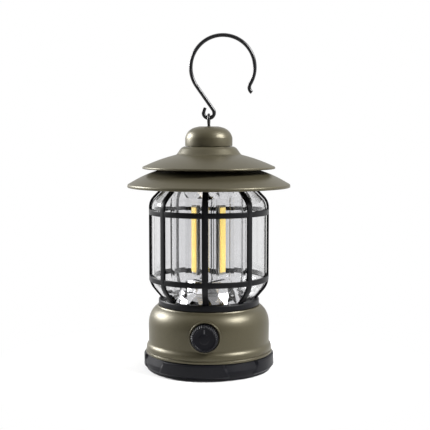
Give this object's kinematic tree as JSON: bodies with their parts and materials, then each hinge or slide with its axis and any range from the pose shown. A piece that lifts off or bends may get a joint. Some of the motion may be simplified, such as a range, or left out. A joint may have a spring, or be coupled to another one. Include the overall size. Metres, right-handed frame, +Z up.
{
  "type": "camping lantern",
  "caption": "Retro camping lantern: two-tier brimmed hat with wire hook, caged clear barrel shade over LED strips, round base with dimmer knob and twist-off battery cover.",
  "frame": {"origin": "centre of the base's underside, on the floor", "axes": "+Z up along the lantern's axis, dimmer knob towards -Y, hook curls towards +X"},
  "size_m": [0.12, 0.12, 0.2467],
  "materials": {
    "olive_paint": "satin metallic olive paint over moulded ABS",
    "black_plastic": "moulded black ABS, satin",
    "black_wire": "black coated steel wire",
    "clear_plastic": "clear polycarbonate, faintly smoked",
    "mirror_chrome": "vacuum-metallised mirror plating over moulded plastic",
    "led_yellow": "yellow phosphor over chip-on-board LEDs",
    "board_white": "white solder mask",
    "board_green": "green solder mask",
    "steel": "zinc-plated or nickel-plated",
    "rubber": "matt black rubber",
    "cell_sleeve": "plain printed film over a steel can, no marks",
    "red_lead": "red insulation",
    "black_lead": "black insulation",
    "white_lead": "white twin insulation"
  },
  "bodies": {
    "lantern": {"cover_gasket": "rubber", "base_shell": "olive_paint", "dimmer": "steel", "dimmer_nut": "steel", "driver_board": "board_green", "battery_tray": "black_plastic", "contact_positive": "steel", "contact_bridge_1": "steel", "contact_bridge_2": "steel", "contact_negative": "steel", "battery_cell_1": "cell_sleeve", "battery_spring_1": "steel", "battery_cell_2": "cell_sleeve", "battery_spring_2": "steel", "battery_cell_3": "cell_sleeve", "battery_spring_3": "steel", "tray_screw_1": "steel", "tray_screw_2": "steel", "cage_front": "black_plastic", "cage_back": "black_plastic", "cage_screw_1": "steel", "cage_screw_2": "steel", "cage_screw_3": "steel", "cage_screw_4": "steel", "shade": "clear_plastic", "light_tube": "clear_plastic", "bottom_reflector": "mirror_chrome", "top_reflector": "mirror_chrome", "light_column": "mirror_chrome", "led_board_1": "board_white", "led_strip_1": "led_yellow", "led_board_2": "board_white", "led_strip_2": "led_yellow", "led_board_3": "board_white", "led_strip_3": "led_yellow", "power_lead_positive": "red_lead", "power_lead_negative": "black_lead", "led_lead": "white_lead", "lower_brim": "olive_paint", "crown_screw_1": "steel", "crown_screw_2": "steel", "crown_screw_3": "steel", "crown_screw_4": "steel", "brim_spacer": "black_plastic", "upper_brim": "olive_paint", "hat_screw_1": "steel", "hat_screw_2": "steel", "hat_screw_3": "steel", "dome_cap": "olive_paint"},
    "cover": {"battery_cover": "black_plastic", "foot_pad_1": "rubber", "foot_pad_2": "rubber", "foot_pad_3": "rubber", "foot_pad_4": "rubber"},
    "knob": {"control_knob": "black_plastic", "dimmer_shaft": "steel"},
    "eye": {"eye_bolt": "black_wire", "eye_washer": "steel", "eye_nut": "steel"},
    "hook": {"hook": "black_wire"}
  },
  "joints": [
    {"name": "cover_twist", "type": "hinge", "parent": "lantern", "child": "cover", "pos_m": [0, 0, 0.006], "axis": [0, 0, 1], "range_deg": [-26, 0]},
    {"name": "knob_turn", "type": "hinge", "parent": "lantern", "child": "knob", "pos_m": [0, 0, 0.0313], "axis": [0, 1, 0], "range_deg": [0, 280]},
    {"name": "eye_swivel", "type": "hinge", "parent": "lantern", "child": "eye", "pos_m": [0, 0, 0.179], "axis": [0, 0, 1], "continuous": true},
    {"name": "hook_swing", "type": "hinge", "parent": "eye", "child": "hook", "pos_m": [0, 0, 0.1851], "axis": [1, 0, 0], "range_deg": [-105, 105]}
  ]
}
